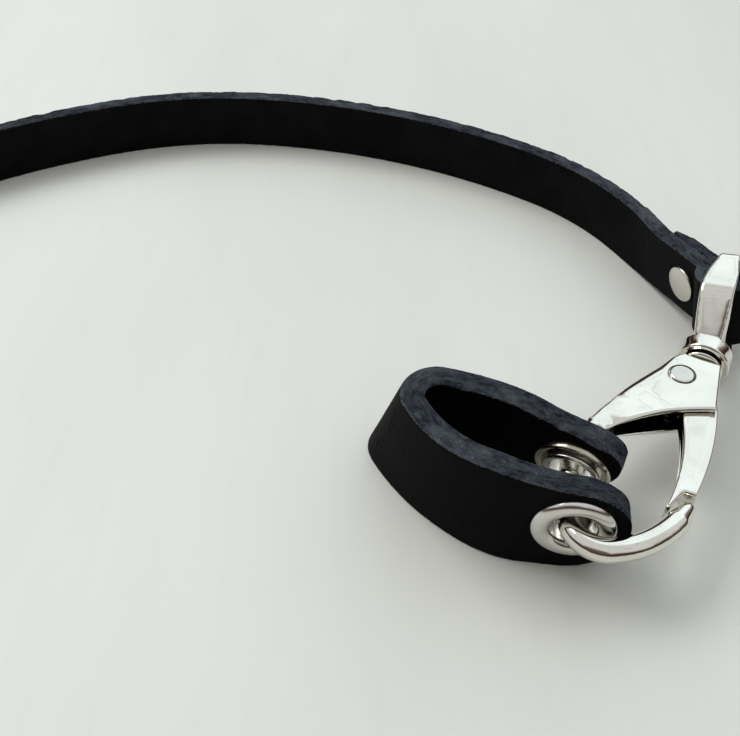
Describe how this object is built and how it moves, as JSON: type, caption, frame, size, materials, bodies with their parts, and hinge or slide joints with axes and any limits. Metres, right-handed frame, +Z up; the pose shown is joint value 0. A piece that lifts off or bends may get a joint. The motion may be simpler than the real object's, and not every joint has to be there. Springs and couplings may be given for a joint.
{
  "type": "pocket watch bow protector",
  "caption": "Black leather strap on a swivel snap hook, with a folded leather bow protector held on the hook by eyelets.",
  "frame": {"origin": "under the middle of the whole part's bounding box, on the table it lies on", "axes": "+Z up from the table, across the strap's width; +X along the longest side of the curve, from the strap's free end to the hook; +Y away from the protector towards the strap's back"},
  "size_m": [0.163, 0.104, 0.0165],
  "materials": {
    "black_leather": "smooth finished grain, raw cut edges",
    "polished_nickel": "polished",
    "spring_steel": "drawn"
  },
  "bodies": {
    "strap_body": {"strap": "black_leather", "rivet_cap": "polished_nickel", "rivet_post": "polished_nickel"},
    "eye_body": {"swivel_eye": "polished_nickel"},
    "hook": {"hook_body": "polished_nickel", "pivot_rivet": "polished_nickel", "gate_spring": "spring_steel"},
    "gate_body": {"gate": "polished_nickel"},
    "guard": {"protector_leather": "black_leather", "near_eyelet": "polished_nickel", "near_washer": "polished_nickel", "far_eyelet": "polished_nickel", "far_washer": "polished_nickel"}
  },
  "joints": [
    {"name": "strap_turn", "type": "hinge", "parent": "strap_body", "child": "eye_body", "pos_m": [0.07609, -0.00725, 0.00825], "axis": [-0.1836, 0.0976, 0.9781], "range_deg": [-50, 95]},
    {"name": "swivel", "type": "hinge", "parent": "eye_body", "child": "hook", "pos_m": [0.06915, -0.02031, 0.00825], "axis": [0.4695, 0.8829, 0], "continuous": true},
    {"name": "gate_open", "type": "hinge", "parent": "hook", "child": "gate_body", "pos_m": [0.06474, -0.02488, 0.00825], "axis": [0, 0, 1], "range_deg": [-14, 0], "stiffness_Nm_per_rad": 0.02, "springref_deg": 17.19, "deforming": ["gate_spring"]},
    {"name": "guard_swing", "type": "hinge", "parent": "hook", "child": "guard", "pos_m": [0.04745, -0.04584, 0.00825], "axis": [0.2081, 0.9781, 0], "range_deg": [-40, 20]}
  ]
}
